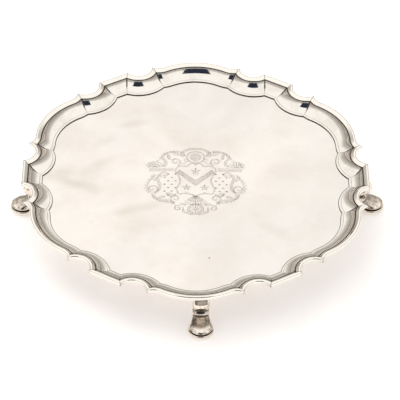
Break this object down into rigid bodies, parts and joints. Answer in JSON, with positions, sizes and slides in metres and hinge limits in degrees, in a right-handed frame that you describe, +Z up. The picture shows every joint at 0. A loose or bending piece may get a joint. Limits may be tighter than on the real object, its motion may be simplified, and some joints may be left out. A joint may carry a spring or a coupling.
{
  "type": "footed silver salver",
  "caption": "Round footed serving salver with a shaped moulded border of arcs, straights and bites, a flat engraved plate and pad feet.",
  "frame": {"origin": "on the table, under the middle of the plate; the hand-set feet stand 2 mm right and 1.4 mm forward of it", "axes": "+Z up; +X through the middle of the first straight of the border; +Y through the crown of an arc at the back"},
  "size_m": [0.3446, 0.3446, 0.041],
  "materials": {
    "plate_silver": "polished silver with fine wiping scratches",
    "cove_silver": "polished cast silver, tarnish in the seams",
    "edge_silver": "bright polished cast silver",
    "foot_silver": "polished cast silver with darker recesses"
  },
  "bodies": {
    "root": {"plate": "plate_silver", "cove_straight_1": "cove_silver", "cove_straight_2": "cove_silver", "cove_straight_3": "cove_silver", "cove_straight_4": "cove_silver", "cove_straight_5": "cove_silver", "cove_straight_6": "cove_silver", "cove_arc_1": "cove_silver", "cove_arc_2": "cove_silver", "cove_arc_3": "cove_silver", "cove_arc_4": "cove_silver", "cove_arc_5": "cove_silver", "cove_arc_6": "cove_silver", "cove_bite_1": "cove_silver", "cove_bite_2": "cove_silver", "cove_bite_3": "cove_silver", "cove_bite_4": "cove_silver", "cove_bite_5": "cove_silver", "cove_bite_6": "cove_silver", "cove_bite_7": "cove_silver", "cove_bite_8": "cove_silver", "cove_bite_9": "cove_silver", "cove_bite_10": "cove_silver", "cove_bite_11": "cove_silver", "cove_bite_12": "cove_silver", "edge_straight_1": "edge_silver", "edge_straight_2": "edge_silver", "edge_straight_3": "edge_silver", "edge_straight_4": "edge_silver", "edge_straight_5": "edge_silver", "edge_straight_6": "edge_silver", "edge_arc_1": "edge_silver", "edge_arc_2": "edge_silver", "edge_arc_3": "edge_silver", "edge_arc_4": "edge_silver", "edge_arc_5": "edge_silver", "edge_arc_6": "edge_silver", "edge_bite_1": "edge_silver", "edge_bite_2": "edge_silver", "edge_bite_3": "edge_silver", "edge_bite_4": "edge_silver", "edge_bite_5": "edge_silver", "edge_bite_6": "edge_silver", "edge_bite_7": "edge_silver", "edge_bite_8": "edge_silver", "edge_bite_9": "edge_silver", "edge_bite_10": "edge_silver", "edge_bite_11": "edge_silver", "edge_bite_12": "edge_silver", "leg_1": "foot_silver", "leg_2": "foot_silver", "leg_3": "foot_silver", "leg_4": "foot_silver", "pad_1": "foot_silver", "pad_2": "foot_silver", "pad_3": "foot_silver", "pad_4": "foot_silver"}
  },
  "joints": []
}
